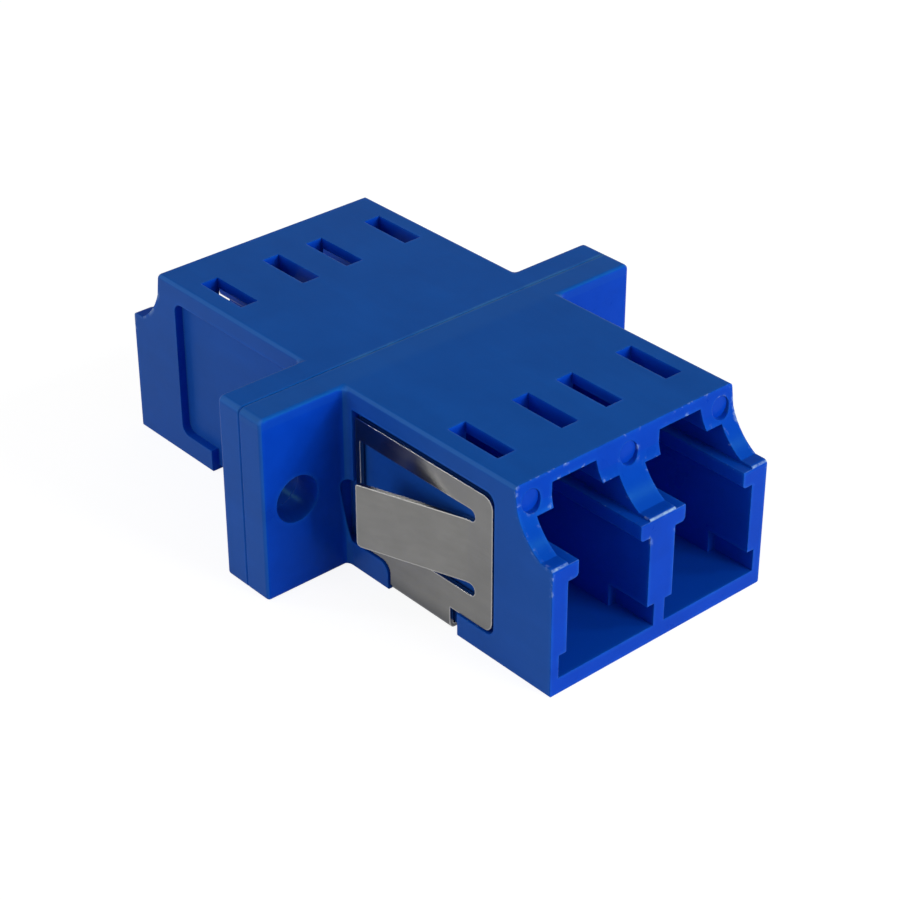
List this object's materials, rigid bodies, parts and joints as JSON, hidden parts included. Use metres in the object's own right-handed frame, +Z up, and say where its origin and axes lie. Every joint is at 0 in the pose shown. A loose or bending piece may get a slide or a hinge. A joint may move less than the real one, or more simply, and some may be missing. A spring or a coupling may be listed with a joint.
{
  "type": "lc fibre adapter",
  "caption": "Fibre-optic adapter with latching sockets side by side at each end, a screw flange in the middle and a folded steel panel clip.",
  "frame": {"origin": "middle of the joint plane between the two halves, on the bottom face", "axes": "+Z up, X across the sockets, Y along the fibre; the half with the spring clip faces -Y"},
  "size_m": [0.022, 0.0294, 0.0093],
  "materials": {
    "moulding": "satin blue moulded polymer",
    "ceramic": "polished white zirconia",
    "spring_steel": "rolled stainless spring steel"
  },
  "bodies": {
    "root": {"front_housing": "moulding", "rear_housing": "moulding", "left_split_sleeve": "ceramic", "right_split_sleeve": "ceramic", "spring_clip": "spring_steel"}
  },
  "joints": []
}
